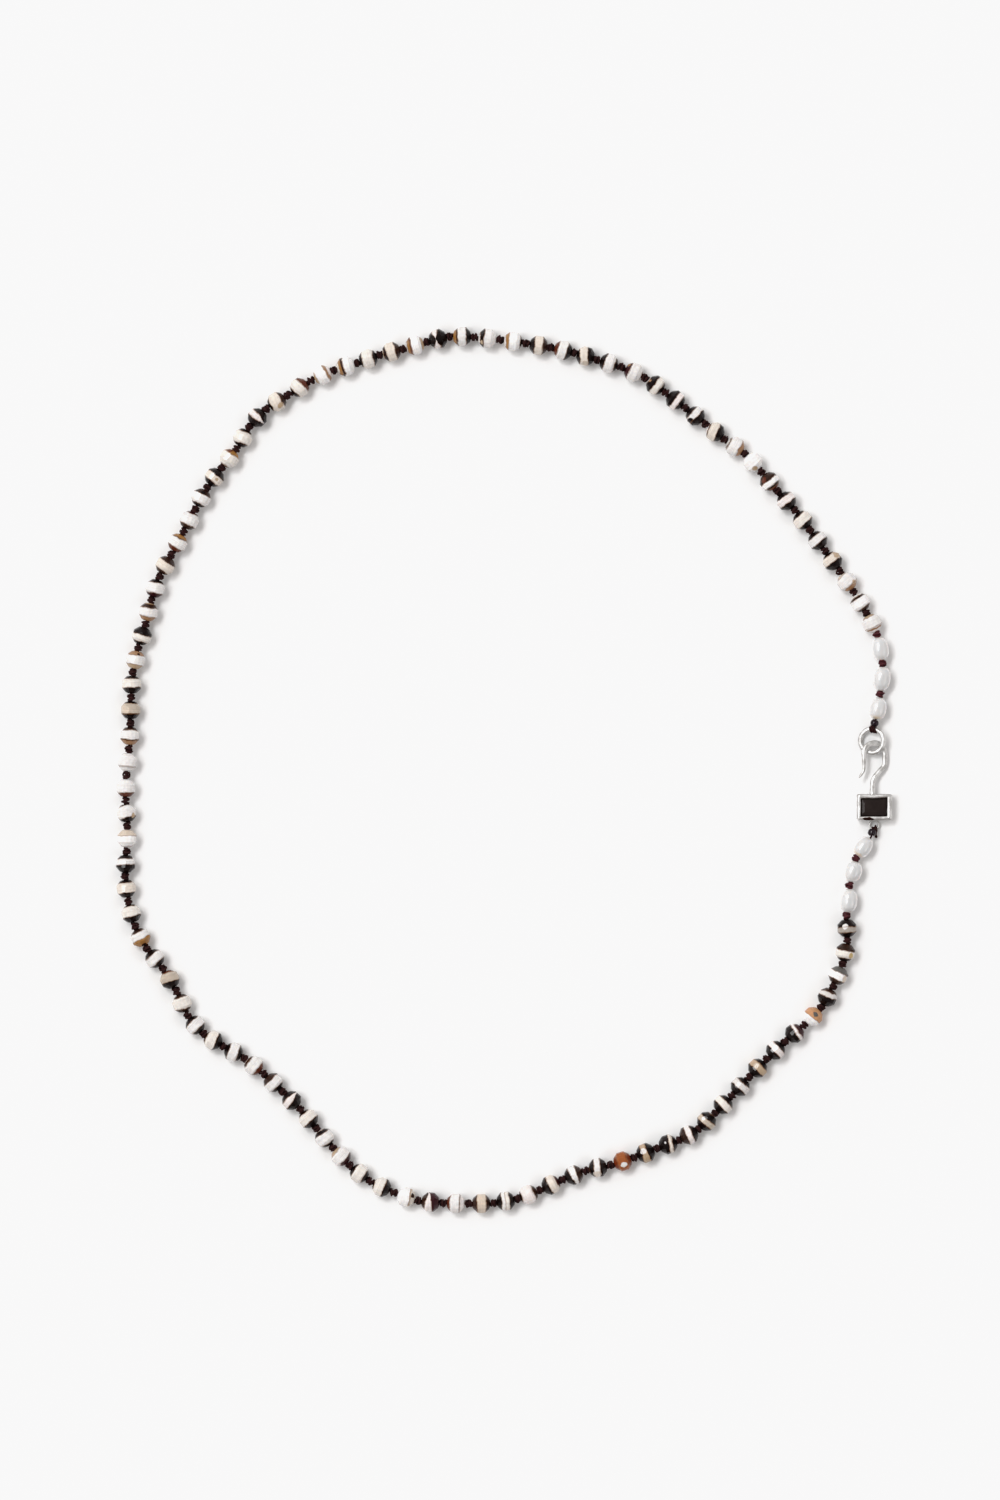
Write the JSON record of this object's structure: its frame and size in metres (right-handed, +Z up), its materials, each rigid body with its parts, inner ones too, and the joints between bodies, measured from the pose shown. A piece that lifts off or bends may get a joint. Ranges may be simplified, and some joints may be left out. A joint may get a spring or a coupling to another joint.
{
  "type": "agate bead necklace",
  "caption": "Necklace of round banded agate beads and pearls knotted on a dark thread, with a silver hook and ring clasp set with a black stone.",
  "frame": {"origin": "under the middle of the necklace's box, on the surface that it lies on", "axes": "+Z up from the surface, +Y along the loop's length towards the end above the clasp, +X towards the side with the clasp"},
  "size_m": [0.1627, 0.186, 0.004],
  "materials": {
    "agate": "polished facets, banded ivory and dark brown",
    "pearl": "satin nacre",
    "thread": "waxed silk",
    "black_bead": "polished",
    "silver": "hand-worked, half polished",
    "black_stone": "polished step cut"
  },
  "bodies": {
    "root": {"agate_beads": "agate", "thread": "thread", "pearl_1": "pearl", "pearl_2": "pearl", "pearl_3": "pearl", "pearl_4": "pearl", "pearl_5": "pearl", "pearl_6": "pearl", "spacer_1": "black_bead", "spacer_2": "black_bead", "ring": "silver", "clasp": "silver", "stone": "black_stone"}
  },
  "joints": []
}
